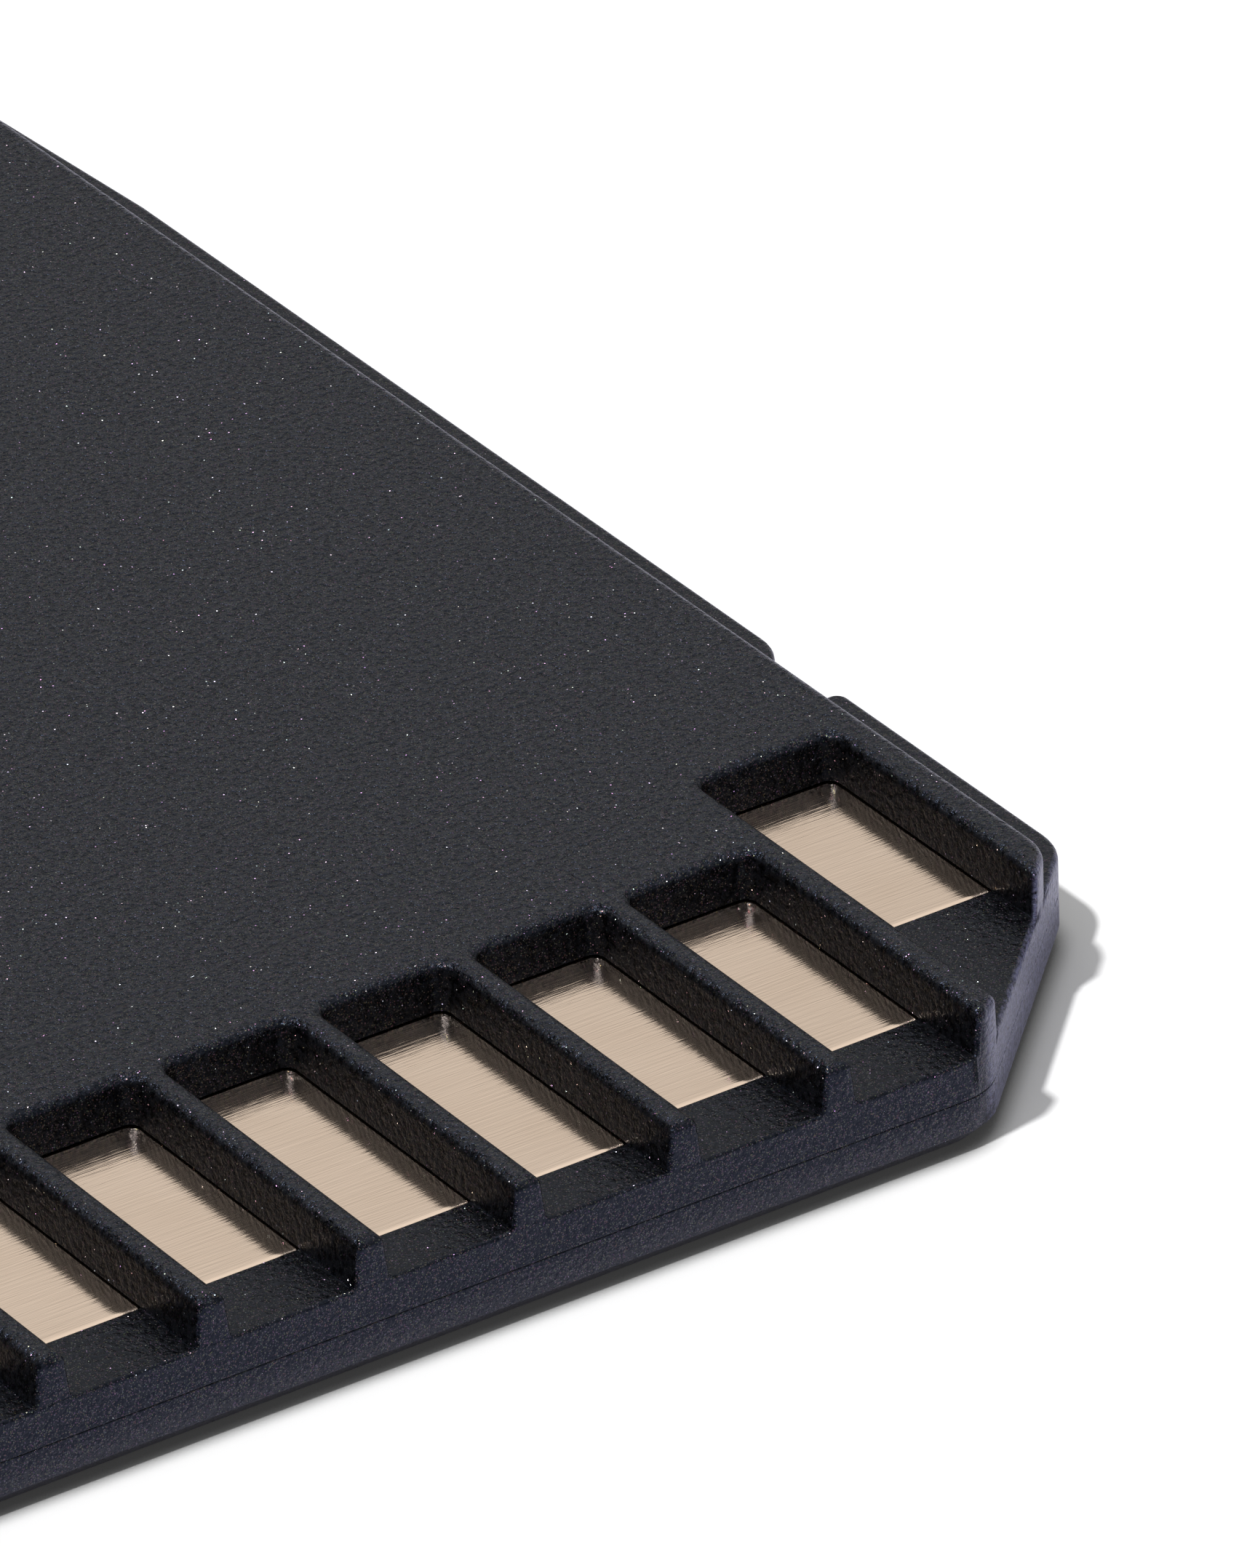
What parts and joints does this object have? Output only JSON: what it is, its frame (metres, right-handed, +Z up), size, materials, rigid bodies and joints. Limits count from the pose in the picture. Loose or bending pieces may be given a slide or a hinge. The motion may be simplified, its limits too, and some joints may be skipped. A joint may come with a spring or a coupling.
{
  "type": "microsd card in its adapter",
  "caption": "Thin memory card adapter with a cut corner and ribbed contact windows, carrying a small flash card in its rear slot and a write protect slider in one edge.",
  "frame": {"origin": "middle of the adapter's plan on the label side face", "axes": "+Y along the length from the contact end to the rear slot, +X across the width towards the cut corner, +Z up from the label side to the contact side"},
  "size_m": [0.024, 0.032, 0.0021],
  "materials": {
    "shell_plastic": "fine spark-eroded grain, near black with a blue cast",
    "strip_metal": "champagne gold plating, brushed across the pads",
    "slider_plastic": "plain pale grey moulding",
    "card_plastic": "black moulded epoxy",
    "pad_metal": "flat gold plating"
  },
  "bodies": {
    "adapter": {"contact_side_shell": "shell_plastic", "label_side_shell": "shell_plastic", "contact_strip_1": "strip_metal", "contact_strip_2": "strip_metal", "contact_strip_3": "strip_metal", "contact_strip_4": "strip_metal", "contact_strip_5": "strip_metal", "contact_strip_6": "strip_metal", "contact_strip_7": "strip_metal", "contact_strip_8": "strip_metal", "contact_strip_9": "strip_metal"},
    "slider": {"write_protect_slider": "slider_plastic"},
    "microsd": {"microsd_body": "card_plastic", "microsd_pad_1": "pad_metal", "microsd_pad_2": "pad_metal", "microsd_pad_3": "pad_metal", "microsd_pad_4": "pad_metal", "microsd_pad_5": "pad_metal", "microsd_pad_6": "pad_metal", "microsd_pad_7": "pad_metal", "microsd_pad_8": "pad_metal"}
  },
  "joints": [
    {"name": "write_protect_slide", "type": "slide", "parent": "adapter", "child": "slider", "axis": [0, 1, 0], "range_m": [0, 0.0027]},
    {"name": "microsd_slide", "type": "slide", "parent": "adapter", "child": "microsd", "axis": [0, 1, 0], "range_m": [0, 0.016]}
  ]
}
